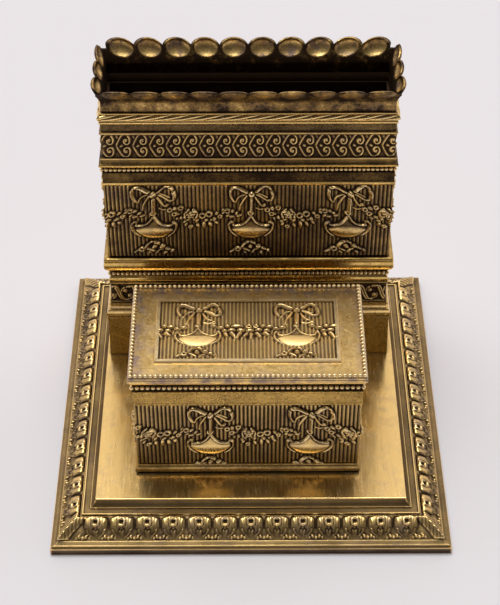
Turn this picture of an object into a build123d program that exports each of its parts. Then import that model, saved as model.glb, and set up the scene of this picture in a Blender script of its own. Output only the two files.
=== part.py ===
from build123d import *
import math
import os
from collections import namedtuple

# A gilt brass desk inkwell: a square moulded base, a tall letter rack at the back and, in front of it, a box
# with a hinged lid that holds two glass ink wells. Millimetres. The origin is the middle of the base's
# underside, +Z is up and the lid opens towards +Y, over the rack's side.

os.makedirs("parts", exist_ok=True)

# One member of a moulding: how much of the height it takes, how far its face stands out from the panels at its
# foot and at its head, and how far an arc between the two bulges outwards.
Member = namedtuple("Member", "rise foot head bulge", defaults=(0.0,))

# Base. Its members are set in from its outer edge.
BASE_HALF = 80.0
BASE_TOP = 13.4
BASE_WALL = 2.4
CHANNEL_OUTER = 67.2
CHANNEL_INNER = 64.6
CHANNEL_DEPTH = 0.5
CHANNEL_BANK = 0.2
PLATFORM_HALF = 62.5
EDGE_ROUND = 0.4
BASE_EDGE = [
    Member(rise=3.2, foot=0, head=0),
    Member(rise=1.0, foot=-0.2, head=-1.8, bulge=0.3),
    Member(rise=0.6, foot=-2.0, head=-3.2),
    Member(rise=4.8, foot=-3.4, head=-11.6, bulge=0.5),
    Member(rise=0.8, foot=-12.0, head=-12.3),
]
LIP_TOP = sum(member.rise for member in BASE_EDGE)
PLATFORM_FOOT = CHANNEL_INNER - CHANNEL_BANK
PLATFORM_RISE = [
    Member(rise=BASE_TOP - LIP_TOP, foot=PLATFORM_FOOT - BASE_HALF, head=PLATFORM_HALF - BASE_HALF, bulge=-0.4),
]
HOLLOW_EDGE = [
    Member(rise=1.6, foot=-4.0, head=-4.0),
    Member(rise=5.6, foot=-5.8, head=-15.0),
]
HOLLOW_IN = -19.6
HOLLOW_RISE = BASE_TOP - BASE_WALL - sum(member.rise for member in HOLLOW_EDGE)
BASE_HOLLOW = HOLLOW_EDGE + [Member(rise=HOLLOW_RISE, foot=HOLLOW_IN, head=HOLLOW_IN)]

# Rack. The half sizes are those of the reeded panels' outer faces, and every moulding stands out from them.
RACK_X = -0.5
RACK_Y = 36.9
RACK_HALF_X = 57.9
RACK_HALF_Y = 14.6
RACK_PANEL_HEIGHT = 38.8
RACK_WALL = 1.9
LINER_WALL = 0.8
LINER_TOP = 137.5
FOOT_PLATE = 3.0
RACK_BELOW_PANELS = {
    "rack_plinth": [
        Member(rise=21.6, foot=2.8, head=2.3),
    ],
    "rack_foot_moulding": [
        Member(rise=1.2, foot=2.9, head=2.9),
        Member(rise=3.4, foot=2.6, head=2.0, bulge=0.5),
        Member(rise=2.6, foot=1.7, head=1.3, bulge=-0.4),
        Member(rise=0.8, foot=1.6, head=1.6),
    ],
    "rack_scroll_frieze": [
        Member(rise=1.0, foot=1.0, head=1.0),
        Member(rise=9.6, foot=0.2, head=0.1),
        Member(rise=0.9, foot=0.9, head=0.9),
    ],
    "rack_lower_beading": [
        Member(rise=3.1, foot=0.5, head=0.5, bulge=0.5),
        Member(rise=3.6, foot=0.0, head=0.0),
        Member(rise=5.6, foot=0.9, head=2.2, bulge=0.9),
        Member(rise=1.4, foot=2.4, head=2.4),
    ],
}
RACK_ABOVE_PANELS = {
    "rack_upper_beading": [
        Member(rise=1.2, foot=0.7, head=0.7),
        Member(rise=4.8, foot=0.3, head=0.3),
        Member(rise=3.2, foot=-0.3, head=-0.3),
        Member(rise=2.4, foot=1.2, head=1.5, bulge=0.4),
        Member(rise=0.9, foot=0.8, head=0.8),
    ],
    "rack_heart_frieze": [
        Member(rise=0.9, foot=0.5, head=0.5),
        Member(rise=11.3, foot=-0.4, head=-0.5),
        Member(rise=0.9, foot=0.3, head=0.3),
    ],
    "rack_rope_moulding": [
        Member(rise=3.8, foot=-0.5, head=-0.5),
        Member(rise=1.5, foot=-0.1, head=-0.1, bulge=0.3),
        Member(rise=3.1, foot=-0.3, head=-0.3, bulge=0.9),
        Member(rise=0.6, foot=-0.4, head=-0.4),
    ],
}

# Scalloped gallery round the rack's mouth
GALLERY_OUT = -1.0
GALLERY_WALL = 0.9
GALLERY_STRAIGHT = 4.4
GALLERY_TOP = 154.5
FLARE_ARC = 0.8
FRONT_FLARE = 5.0
FRONT_LOBES = 10
FRONT_LOBE_PITCH = 11.4
SIDE_FLARE = 2.9
SIDE_LOBES = 3
SIDE_LOBE_PITCH = 10.8
LOBE_R = 6.7

# Ink box, with half sizes of its reeded panels in the same way
BOX_X = -1.2
BOX_Y = -23.6
BOX_HALF_X = 44.3
BOX_HALF_Y = 24.0
BOX_PANEL_HEIGHT = 35.2
BOX_WALL = 1.2
BOX_FLOOR = 2.5
DIVIDER = 1.2
DIVIDER_TOP = 48.0
BOX_BELOW_PANELS = {
    "box_plinth": [
        Member(rise=3.4, foot=0.8, head=0.8, bulge=0.6),
        Member(rise=1.2, foot=0.7, head=0.2, bulge=-0.2),
    ],
}
BOX_ABOVE_PANELS = {
    "box_neck_band": [
        Member(rise=0.7, foot=0.8, head=0.8),
        Member(rise=6.2, foot=0.5, head=0.5),
        Member(rise=0.7, foot=0.9, head=0.9),
    ],
    "box_rim_beading": [
        Member(rise=4.5, foot=0.3, head=0.3),
        Member(rise=0.9, foot=1.1, head=1.1),
    ],
}

# Glass wells
WELL_PLAY = 0.5
WELL_SHOULDER_Z = 49.0
WELL_SHOULDER_CHAMFER = 3.0
WELL_EDGE_ROUND = 1.0
WELL_NECK_R = 14.5
WELL_NECK_TOP = 56.0
WELL_MOUTH_R = 10.5
WELL_BULB_R = 17.0
WELL_BULB_LOW = 21.0
WELL_BULB_HIGH = 43.0
WELL_FILLET = 6.0

# Lid. Its edge stands out from its own half sizes.
LID_GAP = 0.2
LID_SET_BACK = 0.3
LID_HALF_X = 46.4
LID_HALF_Y = 26.4
LID_PLATE = 1.2
LID_RIM = 2.5
LID_EDGE = [
    Member(rise=0.8, foot=-0.8, head=0.0, bulge=0.3),
    Member(rise=0.9, foot=0.0, head=0.0),
    Member(rise=1.3, foot=-0.2, head=-0.9, bulge=0.3),
]
LID_EDGE_FLAT = LID_EDGE[1]
LID_BEAD_HALF_X = 45.1
LID_BEAD_HALF_Y = 25.3
LID_BEAD_R = 0.9
LID_BEAD_STRIP = [Member(rise=LID_BEAD_R, foot=0, head=-0.6, bulge=0.15)]
LID_WINDOW_X = 35.4
LID_WINDOW_Y = 16.8
LID_BORDER_OUT = 1.0
LID_BORDER_WIDTH = 1.6
LID_BORDER = [Member(rise=0.8, foot=0, head=-0.3, bulge=0.1)]
LID_PANEL_DROP = 0.2
LID_PANEL_PLATE = 1.0

# Hinge, behind the box's rim
HINGE_AXIS_OUT = 0.9
HINGE_AXIS_DOWN = 0.6
KNUCKLE_R = 1.4
PIN_R = 0.7
PIN_CLEARANCE = 0.05
KNUCKLES = 7
KNUCKLE_PITCH = 8.0
KNUCKLE_GAP = 0.2
LEAF = 0.8
LEAF_HEIGHT = 8.4
LEAF_DROP = 1.6
LEAF_OUT = 1.1
WEB = 0.4
WEB_UNDER_AXIS = 0.6

# Screws under the base
SCREW_R = 1.5
SCREW_CLEARANCE = 0.25
SCREW_HEAD_R = 2.8
SCREW_HEAD = 1.8
SLOT_WIDTH = 0.7
SLOT_DEPTH = 0.8
THREAD_SHORT = 0.4
RACK_SCREW_X = 40.0
RACK_SCREW_Y = 7.0
BOX_SCREW_X = 28.0
BOX_SCREW_Y = 12.0

# Longer than the whole inkwell, and a hair more than a touching face, for the tools that cut
REACH = 400.0
OVERLAP = 1.0
TOUCHING = 1e-6


def height(members):
    """How tall a moulding is."""
    return sum(member.rise for member in members)


def stack(low, mouldings):
    """Stands mouldings on one another: the height of each one's foot by name, and where the last one ends."""
    feet = {}
    for name, members in mouldings.items():
        feet[name] = low
        low += height(members)
    return feet, low


RACK_LOWER_FEET, RACK_PANEL_LOW = stack(BASE_TOP, RACK_BELOW_PANELS)
RACK_PANEL_HIGH = RACK_PANEL_LOW + RACK_PANEL_HEIGHT
RACK_UPPER_FEET, GALLERY_LOW = stack(RACK_PANEL_HIGH, RACK_ABOVE_PANELS)
BOX_LOWER_FEET, BOX_PANEL_LOW = stack(BASE_TOP, BOX_BELOW_PANELS)
BOX_PANEL_HIGH = BOX_PANEL_LOW + BOX_PANEL_HEIGHT
BOX_UPPER_FEET, BOX_RIM_TOP = stack(BOX_PANEL_HIGH, BOX_ABOVE_PANELS)
LID_LOW = BOX_RIM_TOP + LID_GAP
LID_TOP = LID_LOW + height(LID_EDGE)
LID_Y = BOX_Y + LID_SET_BACK
HINGE_AXIS_Y = LID_Y + LID_HALF_Y + HINGE_AXIS_OUT
HINGE_AXIS_Z = BOX_RIM_TOP - HINGE_AXIS_DOWN
RACK_PLACE = Pos(RACK_X, RACK_Y, 0)
BOX_PLACE = Pos(BOX_X, BOX_Y, 0)
LID_PLACE = Pos(BOX_X, LID_Y, 0)


def section(half, low, members):
    """The closed outline of a symmetrical moulded block: x is out from the middle and y is up."""
    right_side = []
    pen = Vector(0, low)
    for member in members:
        start = Vector(half + member.foot, low)
        low += member.rise
        end = Vector(half + member.head, low)
        if (start - pen).length > TOUCHING:
            right_side.append(Line(pen, start))
        if member.bulge:
            right_side.append(SagittaArc(start, end, -member.bulge))
        else:
            right_side.append(Line(start, end))
        pen = end
    right_side.append(Line(pen, (0, pen.Y)))
    left_side = [mirror(edge, Plane.YZ) for edge in right_side]
    return make_face(right_side + left_side)


def moulded_block(half_x, half_y, low, members):
    """A rectangular block whose four sides carry one moulding, mitred at the corners."""
    along_y = extrude(Plane.XZ * section(half_x, low, members), REACH / 2, both=True)
    along_x = extrude(Plane.YZ * section(half_y, low, members), REACH / 2, both=True)
    return along_y & along_x


def upright_box(half_x, half_y, low, high):
    """A plain block between two heights, centred on the Z axis."""
    return Pos(0, 0, (low + high) / 2) * Box(2 * half_x, 2 * half_y, high - low)


def moulded_ring(half_x, half_y, low, members, wall):
    """A mitred moulding around a rectangular hole, whose inside lies one wall behind the panels' faces."""
    high = low + height(members)
    hole = upright_box(half_x - wall, half_y - wall, low - OVERLAP, high + OVERLAP)
    return moulded_block(half_x, half_y, low, members) - hole


def save(name, shape):
    """Writes one node."""
    export_step(shape, f"parts/{name}.step")


# ---------------------------------------------------------------------------------------------- base


def screw_places(x, y, centre_x, centre_y):
    """The four corners where one fitting is screwed down."""
    return [(centre_x + side * x, centre_y + end * y) for side in (-1, 1) for end in (-1, 1)]


RACK_SCREWS = screw_places(RACK_SCREW_X, RACK_SCREW_Y, RACK_X, RACK_Y)
BOX_SCREWS = screw_places(BOX_SCREW_X, BOX_SCREW_Y, BOX_X, BOX_Y)


def base_casting():
    """The square base: plain edge, sloping leaf border, lip, sunk channel and raised platform, hollow below."""
    base = moulded_block(BASE_HALF, BASE_HALF, 0, BASE_EDGE + PLATFORM_RISE)
    top_edges = base.edges().group_by(Axis.Z)[-1]
    base = fillet(top_edges, EDGE_ROUND)
    channel_low = LIP_TOP - CHANNEL_DEPTH
    channel = upright_box(CHANNEL_OUTER, CHANNEL_OUTER, channel_low, LIP_TOP + OVERLAP)
    channel -= upright_box(CHANNEL_INNER, CHANNEL_INNER, channel_low, LIP_TOP + OVERLAP)
    base -= channel
    base -= moulded_block(BASE_HALF, BASE_HALF, 0, BASE_HOLLOW)
    for x, y in RACK_SCREWS + BOX_SCREWS:
        base -= Pos(x, y, BASE_TOP) * Cylinder(SCREW_R + SCREW_CLEARANCE, 4 * BASE_WALL)
    return base


def screws(places, plate):
    """Slotted cheese-head screws that come up through the base into a threaded plate."""
    head_top = BASE_TOP - BASE_WALL
    shank = BASE_WALL + plate - THREAD_SHORT
    up = (Align.CENTER, Align.CENTER, Align.MIN)
    down = (Align.CENTER, Align.CENTER, Align.MAX)
    screw = Pos(0, 0, head_top) * Cylinder(SCREW_R, shank, align=up)
    screw += Pos(0, 0, head_top) * Cylinder(SCREW_HEAD_R, SCREW_HEAD, align=down)
    slot_z = head_top - SCREW_HEAD + SLOT_DEPTH
    screw -= Pos(0, 0, slot_z) * Box(3 * SCREW_HEAD_R, SLOT_WIDTH, 2 * SLOT_DEPTH)
    return Compound(children=[Pos(x, y, 0) * screw.solid() for x, y in places])


def threaded_plate(half_x, half_y, thickness, place, places):
    """The plate inside a fitting's foot that its screws pull down."""
    plate = place * upright_box(half_x, half_y, BASE_TOP, BASE_TOP + thickness)
    for x, y in places:
        depth = 2 * (thickness - THREAD_SHORT)
        plate -= Pos(x, y, BASE_TOP) * Cylinder(SCREW_R, depth)
    return plate


# ---------------------------------------------------------------------------------------------- rack


def rack_ring(low, members):
    """One tier of the rack's outside."""
    return RACK_PLACE * moulded_ring(RACK_HALF_X, RACK_HALF_Y, low, members, RACK_WALL)


def wall_panels(half_x, half_y, wall, low, high, place):
    """Four upright panels: the front and back run the full width and the sides fit between them."""
    inner_y = half_y - wall
    middle = (low + high) / 2
    long_panel = Box(2 * half_x, wall, high - low)
    short_panel = Box(wall, 2 * inner_y, high - low)
    return {
        "front_panel": place * Pos(0, -half_y + wall / 2, middle) * long_panel,
        "back_panel": place * Pos(0, half_y - wall / 2, middle) * long_panel,
        "left_panel": place * Pos(-half_x + wall / 2, 0, middle) * short_panel,
        "right_panel": place * Pos(half_x - wall / 2, 0, middle) * short_panel,
    }


def gallery_profile(foot, flare):
    """The gallery's cross-section: upright at first, then flared outwards."""
    bend = GALLERY_LOW + GALLERY_STRAIGHT
    tip = foot - flare
    return make_face([
        Line((foot, GALLERY_LOW), (foot, bend)),
        SagittaArc((foot, bend), (tip, GALLERY_TOP), FLARE_ARC),
        Line((tip, GALLERY_TOP), (tip + GALLERY_WALL, GALLERY_TOP)),
        SagittaArc((tip + GALLERY_WALL, GALLERY_TOP), (foot + GALLERY_WALL, bend), -FLARE_ARC),
        Line((foot + GALLERY_WALL, bend), (foot + GALLERY_WALL, GALLERY_LOW)),
        Line((foot + GALLERY_WALL, GALLERY_LOW), (foot, GALLERY_LOW)),
    ])


def lobed_slab(lobes, pitch):
    """A deep slab whose upper edge is a row of round lobes: the outline that is left of a gallery wall."""
    lobe_z = GALLERY_TOP - LOBE_R
    notch_z = lobe_z + math.sqrt(LOBE_R**2 - (pitch / 2) ** 2)
    slab = Pos(0, 0, (GALLERY_LOW + notch_z) / 2) * Box(REACH, REACH, notch_z - GALLERY_LOW)
    for index in range(lobes):
        x = (index - (lobes - 1) / 2) * pitch
        slab += Pos(x, 0, lobe_z) * Rot(X=90) * Cylinder(LOBE_R, REACH)
    return slab


def gallery_wall(half_run, half_depth, lobes, pitch, flare, end_flare):
    """One side of the scalloped gallery, along X and facing -Y, cut to its mitres."""
    foot = -half_depth
    wall = extrude(Plane.YZ * gallery_profile(foot, flare), REACH / 2, both=True)
    inset = 2 * GALLERY_WALL
    out_x = half_run + 2 * end_flare
    out_y = foot - 2 * flare
    in_x = half_run - inset
    in_y = foot + inset
    mitre = Polyline((-out_x, out_y), (out_x, out_y), (in_x, in_y), (-in_x, in_y), close=True)
    sector = extrude(make_face(mitre), GALLERY_TOP + OVERLAP)
    return wall & lobed_slab(lobes, pitch) & sector


def rack_gallery():
    """The scalloped gallery around the rack's mouth."""
    half_x = RACK_HALF_X + GALLERY_OUT
    half_y = RACK_HALF_Y + GALLERY_OUT
    front = gallery_wall(half_x, half_y, FRONT_LOBES, FRONT_LOBE_PITCH, FRONT_FLARE, SIDE_FLARE)
    side = gallery_wall(half_y, half_x, SIDE_LOBES, SIDE_LOBE_PITCH, SIDE_FLARE, FRONT_FLARE)
    return RACK_PLACE * (front + Rot(Z=180) * front + Rot(Z=90) * side + Rot(Z=-90) * side)


def rack_liner():
    """The plain sheet tray inside the rack, standing on the foot plate."""
    half_x = RACK_HALF_X - RACK_WALL
    half_y = RACK_HALF_Y - RACK_WALL
    floor = BASE_TOP + FOOT_PLATE
    tray = upright_box(half_x, half_y, floor, LINER_TOP)
    tray -= upright_box(half_x - LINER_WALL, half_y - LINER_WALL, floor + LINER_WALL, LINER_TOP + OVERLAP)
    return RACK_PLACE * tray


# ---------------------------------------------------------------------------------------------- ink box


def box_ring(low, members):
    """One tier of the ink box's outside."""
    return BOX_PLACE * moulded_ring(BOX_HALF_X, BOX_HALF_Y, low, members, BOX_WALL)


def box_divider():
    """The upright plate between the two wells."""
    low = BASE_TOP + BOX_FLOOR
    return BOX_PLACE * upright_box(DIVIDER / 2, BOX_HALF_Y - BOX_WALL, low, DIVIDER_TOP)


def glass_well(side):
    """One moulded glass well: a square block with chamfered shoulders, a round neck and a round-bottomed bulb."""
    room_x = BOX_HALF_X - BOX_WALL - DIVIDER / 2
    half_x = room_x / 2 - WELL_PLAY
    half_y = BOX_HALF_Y - BOX_WALL - WELL_PLAY
    low = BASE_TOP + BOX_FLOOR
    block = upright_box(half_x, half_y, low, WELL_SHOULDER_Z)
    block = chamfer(block.edges().group_by(Axis.Z)[-1], WELL_SHOULDER_CHAMFER)
    block = fillet(block.edges().filter_by(Axis.Z), WELL_EDGE_ROUND)
    up = (Align.CENTER, Align.CENTER, Align.MIN)
    block += Pos(0, 0, low) * Cylinder(WELL_NECK_R, WELL_NECK_TOP - low, align=up)
    bulb = make_face([
        Line((0, WELL_BULB_LOW), (WELL_BULB_R - WELL_FILLET, WELL_BULB_LOW)),
        RadiusArc((WELL_BULB_R - WELL_FILLET, WELL_BULB_LOW), (WELL_BULB_R, WELL_BULB_LOW + WELL_FILLET),
                  -WELL_FILLET),
        Line((WELL_BULB_R, WELL_BULB_LOW + WELL_FILLET), (WELL_BULB_R, WELL_BULB_HIGH - WELL_FILLET)),
        Line((WELL_BULB_R, WELL_BULB_HIGH - WELL_FILLET), (WELL_MOUTH_R, WELL_BULB_HIGH)),
        Line((WELL_MOUTH_R, WELL_BULB_HIGH), (WELL_MOUTH_R, WELL_NECK_TOP)),
        Line((WELL_MOUTH_R, WELL_NECK_TOP), (0, WELL_NECK_TOP)),
        Line((0, WELL_NECK_TOP), (0, WELL_BULB_LOW)),
    ])
    well = block - revolve(Plane.XZ * bulb, Axis.Z)
    return BOX_PLACE * Pos(side * (DIVIDER / 2 + room_x / 2), 0, 0) * well


# ---------------------------------------------------------------------------------------------- lid


def lid_frame():
    """The lid's moulded frame: a hollow tray turned downwards, with a window for the reeded panel."""
    below = LID_LOW - OVERLAP
    frame = moulded_block(LID_HALF_X, LID_HALF_Y, LID_LOW, LID_EDGE)
    frame -= upright_box(LID_HALF_X - LID_RIM, LID_HALF_Y - LID_RIM, below, LID_TOP - LID_PLATE)
    frame -= upright_box(LID_WINDOW_X, LID_WINDOW_Y, below, LID_TOP + OVERLAP)
    return LID_PLACE * frame


def lid_panel():
    """The plate that fills the lid's window."""
    high = LID_TOP - LID_PANEL_DROP
    return LID_PLACE * upright_box(LID_WINDOW_X, LID_WINDOW_Y, high - LID_PANEL_PLATE, high)


def raised_edge(half_x, half_y, width, members):
    """A moulding that stands on the lid's top, given by its outer half sizes and its width."""
    ring = moulded_block(half_x, half_y, LID_TOP, members)
    high = LID_TOP + height(members)
    return ring - upright_box(half_x - width, half_y - width, LID_TOP - OVERLAP, high + OVERLAP)


def lid_panel_border():
    """The raised moulding soldered around the window, over its joint with the panel."""
    half_x = LID_WINDOW_X + LID_BORDER_OUT
    half_y = LID_WINDOW_Y + LID_BORDER_OUT
    return LID_PLACE * raised_edge(half_x, half_y, LID_BORDER_WIDTH, LID_BORDER)


def lid_beading():
    """The strip that carries the beads round the lid's top edge."""
    half_x = LID_BEAD_HALF_X + LID_BEAD_R
    half_y = LID_BEAD_HALF_Y + LID_BEAD_R
    return LID_PLACE * raised_edge(half_x, half_y, 2 * LID_BEAD_R, LID_BEAD_STRIP)


# ---------------------------------------------------------------------------------------------- hinge


def knuckle_places(moving):
    """The middles of the knuckles along the hinge: odd ones belong to the lid, even ones to the box."""
    wanted = 1 if moving else 0
    return [(i - (KNUCKLES - 1) / 2) * KNUCKLE_PITCH for i in range(KNUCKLES) if i % 2 == wanted]


def knuckle(x, radius, length):
    """A round bar along the hinge axis."""
    return Pos(BOX_X + x, HINGE_AXIS_Y, HINGE_AXIS_Z) * Rot(Y=90) * Cylinder(radius, length)


def block_between(x, length, y_low, y_high, z_low, z_high):
    """A plain block given by its middle and length along X, and its ends along Y and Z."""
    middle = Pos(BOX_X + x, (y_low + y_high) / 2, (z_low + z_high) / 2)
    return middle * Box(length, y_high - y_low, z_high - z_low)


def hinge_leaf(moving):
    """One leaf with its knuckles. The lid's leaf turns on the pin and the box's leaf holds it tight."""
    run = KNUCKLES * KNUCKLE_PITCH
    length = KNUCKLE_PITCH - KNUCKLE_GAP
    if moving:
        back = LID_Y + LID_HALF_Y
        low = LID_LOW + LID_EDGE[0].rise
        leaf = block_between(0, run, back, back + LEAF, low, low + LID_EDGE_FLAT.rise)
        web = (HINGE_AXIS_Y - WEB_UNDER_AXIS, back + LEAF, HINGE_AXIS_Z, low + WEB)
    else:
        back = BOX_Y + BOX_HALF_Y + LEAF_OUT
        high = HINGE_AXIS_Z - LEAF_DROP
        leaf = block_between(0, run, back, back + LEAF, high - LEAF_HEIGHT, high)
        web = (back, HINGE_AXIS_Y, high - WEB, HINGE_AXIS_Z - PIN_R / 3)
    for x in knuckle_places(moving):
        leaf += knuckle(x, KNUCKLE_R, length)
        leaf += block_between(x, length, *web)
    bore = PIN_R + (PIN_CLEARANCE if moving else 0.0)
    return leaf - knuckle(0, bore, 2 * run)


def hinge_pin():
    """The wire pin through all the knuckles."""
    return knuckle(0, PIN_R, KNUCKLES * KNUCKLE_PITCH)


# ---------------------------------------------------------------------------------------------- all nodes


save("base_casting", base_casting())
save("rack_screws", screws(RACK_SCREWS, FOOT_PLATE))
save("box_screws", screws(BOX_SCREWS, BOX_FLOOR))

foot_half_x = RACK_HALF_X - RACK_WALL
foot_half_y = RACK_HALF_Y - RACK_WALL
save("rack_foot_plate", threaded_plate(foot_half_x, foot_half_y, FOOT_PLATE, RACK_PLACE, RACK_SCREWS))
for name, members in RACK_BELOW_PANELS.items():
    save(name, rack_ring(RACK_LOWER_FEET[name], members))
for name, members in RACK_ABOVE_PANELS.items():
    save(name, rack_ring(RACK_UPPER_FEET[name], members))
rack_walls = (RACK_HALF_X, RACK_HALF_Y, RACK_WALL, RACK_PANEL_LOW, RACK_PANEL_HIGH, RACK_PLACE)
for name, panel in wall_panels(*rack_walls).items():
    save(f"rack_{name}", panel)
save("rack_gallery", rack_gallery())
save("rack_liner", rack_liner())

floor_half_x = BOX_HALF_X - BOX_WALL
floor_half_y = BOX_HALF_Y - BOX_WALL
save("box_floor_plate", threaded_plate(floor_half_x, floor_half_y, BOX_FLOOR, BOX_PLACE, BOX_SCREWS))
for name, members in BOX_BELOW_PANELS.items():
    save(name, box_ring(BOX_LOWER_FEET[name], members))
for name, members in BOX_ABOVE_PANELS.items():
    save(name, box_ring(BOX_UPPER_FEET[name], members))
box_walls = (BOX_HALF_X, BOX_HALF_Y, BOX_WALL, BOX_PANEL_LOW, BOX_PANEL_HIGH, BOX_PLACE)
for name, panel in wall_panels(*box_walls).items():
    save(f"box_{name}", panel)
save("box_divider", box_divider())
save("glass_well_left", glass_well(-1))
save("glass_well_right", glass_well(1))

save("lid_frame", lid_frame())
save("lid_panel", lid_panel())
save("lid_panel_border", lid_panel_border())
save("lid_beading", lid_beading())
save("hinge_leaf_box", hinge_leaf(moving=False))
save("hinge_leaf_lid", hinge_leaf(moving=True))
save("hinge_pin", hinge_pin())
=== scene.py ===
import math

import bpy
import numpy as np
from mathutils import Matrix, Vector


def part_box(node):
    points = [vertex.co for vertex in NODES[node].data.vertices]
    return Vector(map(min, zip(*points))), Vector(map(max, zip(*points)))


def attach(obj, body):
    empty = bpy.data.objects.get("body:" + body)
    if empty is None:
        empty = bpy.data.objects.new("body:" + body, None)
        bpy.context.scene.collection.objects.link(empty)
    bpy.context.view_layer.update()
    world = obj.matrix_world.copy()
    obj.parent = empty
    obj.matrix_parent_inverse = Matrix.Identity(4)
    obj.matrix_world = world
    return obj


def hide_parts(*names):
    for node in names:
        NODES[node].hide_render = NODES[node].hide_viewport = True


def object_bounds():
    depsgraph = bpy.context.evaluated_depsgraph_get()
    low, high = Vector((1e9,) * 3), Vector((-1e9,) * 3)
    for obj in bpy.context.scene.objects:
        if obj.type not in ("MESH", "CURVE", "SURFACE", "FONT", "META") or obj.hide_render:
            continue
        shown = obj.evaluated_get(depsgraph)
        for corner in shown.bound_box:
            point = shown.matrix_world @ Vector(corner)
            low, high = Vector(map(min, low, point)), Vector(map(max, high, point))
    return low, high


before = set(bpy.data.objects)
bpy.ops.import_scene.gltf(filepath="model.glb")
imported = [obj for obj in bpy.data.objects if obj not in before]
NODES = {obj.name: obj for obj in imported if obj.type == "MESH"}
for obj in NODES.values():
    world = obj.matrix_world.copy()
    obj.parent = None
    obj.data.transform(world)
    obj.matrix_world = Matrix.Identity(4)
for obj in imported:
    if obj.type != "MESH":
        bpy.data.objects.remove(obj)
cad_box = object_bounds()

# The looks of a gilt brass inkwell with a letter rack. Every stamped, beaded and moulded ornament is a relief
# in the mesh, laid on the places of the CAD nodes, drawn in millimetres and turned into metres by to_mesh().

MM = 0.001


# ---- places from the frame


def box_mm(*nodes):
    """Lowest and highest corner of one or several CAD nodes, in millimetres."""
    corners = [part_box(node) for node in nodes]
    low = [min(c[0][axis] for c in corners) / MM for axis in range(3)]
    high = [max(c[1][axis] for c in corners) / MM for axis in range(3)]
    return low, high


def foot_of(node):
    """The height of a CAD node's lower edge, in millimetres."""
    return box_mm(node)[0][2]


class Plan:
    """A rectangle in plan view that mouldings and panels are set round, inset from a box and shifted."""

    def __init__(self, low, high, inset=0.0, shift=(0.0, 0.0)):
        self.half = [(high[axis] - low[axis]) / 2 - inset for axis in (0, 1)]
        self.middle = [(high[axis] + low[axis]) / 2 + shift[axis] for axis in (0, 1)]

    def halves(self, side):
        """Its half sizes away from its middle, towards that side's face and along that face."""
        return self.half if SIDES[side][0][0] else self.half[::-1]

    def places(self, side, out, t, z):
        """Points at a distance out from a side's face, t along it and z up."""
        (nx, ny), (tx, ty) = SIDES[side]
        away = self.halves(side)[0] + out
        return np.stack([self.middle[0] + nx * away + tx * t, self.middle[1] + ny * away + ty * t, z], -1)


RACK = Plan(*box_mm("rack_front_panel", "rack_back_panel"))
BOX = Plan(*box_mm("box_front_panel", "box_back_panel"))
BASE = Plan(*box_mm("base_casting"))
LID_CLEAN = Plan(*box_mm("lid_frame"), shift=(1.5, -2.5))
RACK_WALL = box_mm("rack_left_panel")[1][0] - box_mm("rack_left_panel")[0][0]
BOX_WALL = box_mm("box_left_panel")[1][0] - box_mm("box_left_panel")[0][0]

# Each side's outward direction and the direction in which its columns run, anticlockwise from above.
SIDES = {
    "front": ((0, -1), (1, 0)),
    "right": ((1, 0), (0, 1)),
    "back": ((0, 1), (-1, 0)),
    "left": ((-1, 0), (0, -1)),
}


# ---- relief drawing


def smooth_line(points, per_span=7):
    """A Catmull-Rom line through the points."""
    p = np.array([points[0], *points, points[-1]], float)
    t = np.linspace(0, 1, per_span, endpoint=False)[:, None]
    spans = []
    for a, b, c, d in zip(p, p[1:], p[2:], p[3:]):
        spans.append(0.5 * (2 * b + (c - a) * t + (2 * a - 5 * b + 4 * c - d) * t**2
                            + (3 * b - a - 3 * c + d) * t**3))
    return np.vstack([*spans, p[-1:]])


def step_up(x):
    """A smooth step from 0 at x <= 0 to 1 at x >= 1."""
    x = np.clip(x, 0, 1)
    return x * x * (3 - 2 * x)


def round_top(x):
    """The rounded section of a stamped rib: 1 in the middle at x = 0, and 0 at x >= 1."""
    return np.clip(1 - x * x, 0, 1) ** 0.62


def soften(h, passes):
    """Blurs a grid of heights a little, with its edges held."""
    for _ in range(passes):
        h = np.pad(h, 1, mode="edge")
        h = (h[:-2] + 2 * h[1:-1] + h[2:]) / 4
        h = (h[:, :-2] + 2 * h[:, 1:-1] + h[:, 2:]) / 4
    return h


HALO = 0.3
TINY = 1e-6


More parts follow.
